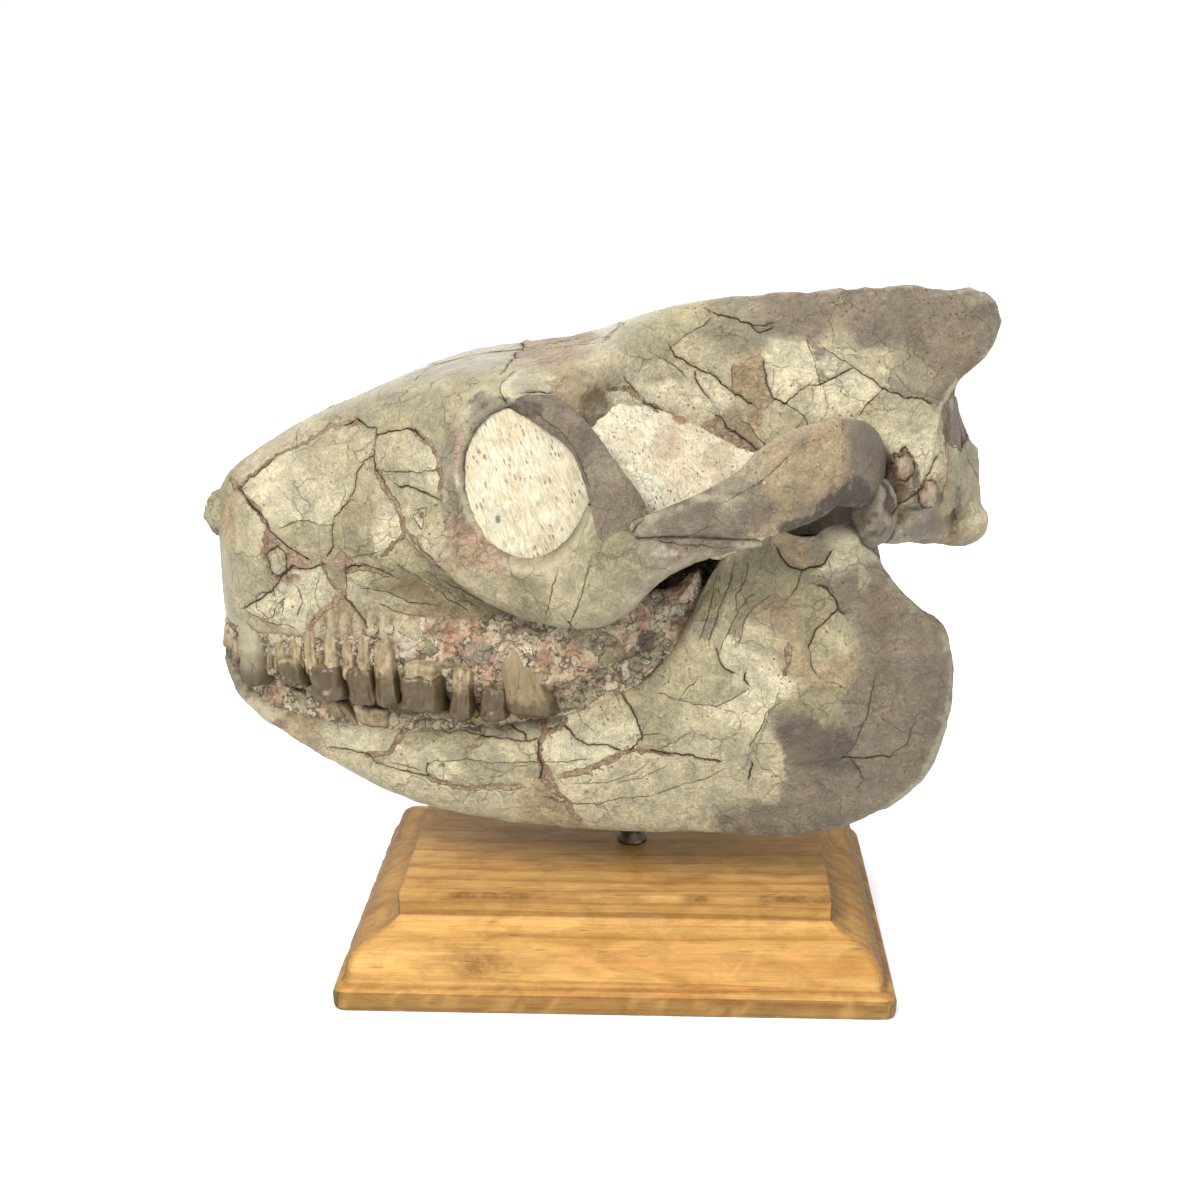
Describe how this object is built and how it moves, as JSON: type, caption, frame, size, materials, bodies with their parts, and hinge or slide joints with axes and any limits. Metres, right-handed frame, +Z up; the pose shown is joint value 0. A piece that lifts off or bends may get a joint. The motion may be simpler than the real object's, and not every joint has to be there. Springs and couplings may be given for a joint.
{
  "type": "fossil oreodont skull",
  "caption": "Fossil oreodont skull with closed jaws and pale rock in its eye sockets, held by a short rod on a stepped pine base.",
  "frame": {"origin": "middle of the underside of the base", "axes": "+Z up, the snout points to -X, the skull's left side faces -Y"},
  "size_m": [0.2156, 0.123, 0.1883],
  "materials": {
    "bone": "satin, cracked and pitted fossil bone",
    "restored_bone": "satin grey-brown filler",
    "pale_rock": "matt, chalky and pitted",
    "pink_rock": "matt, crumbly",
    "pine": "satin lacquer",
    "dark_steel": "dark, satin"
  },
  "bodies": {
    "root": {"skull_muzzle": "bone", "skull_brow": "bone", "skull_braincase": "bone", "skull_nape": "bone", "nares_rock": "pink_rock", "jaw_rock": "pink_rock", "arch_left": "restored_bone", "arch_right": "restored_bone", "orbit_bar_left": "restored_bone", "orbit_bar_right": "restored_bone", "cheek_left": "bone", "cheek_right": "bone", "jaw_left": "bone", "jaw_right": "bone", "orbit_rock_left": "pale_rock", "orbit_rock_right": "pale_rock", "temple_rock_left": "pale_rock", "temple_rock_right": "pale_rock", "stand_base": "pine", "stand_rod": "dark_steel"}
  },
  "joints": []
}
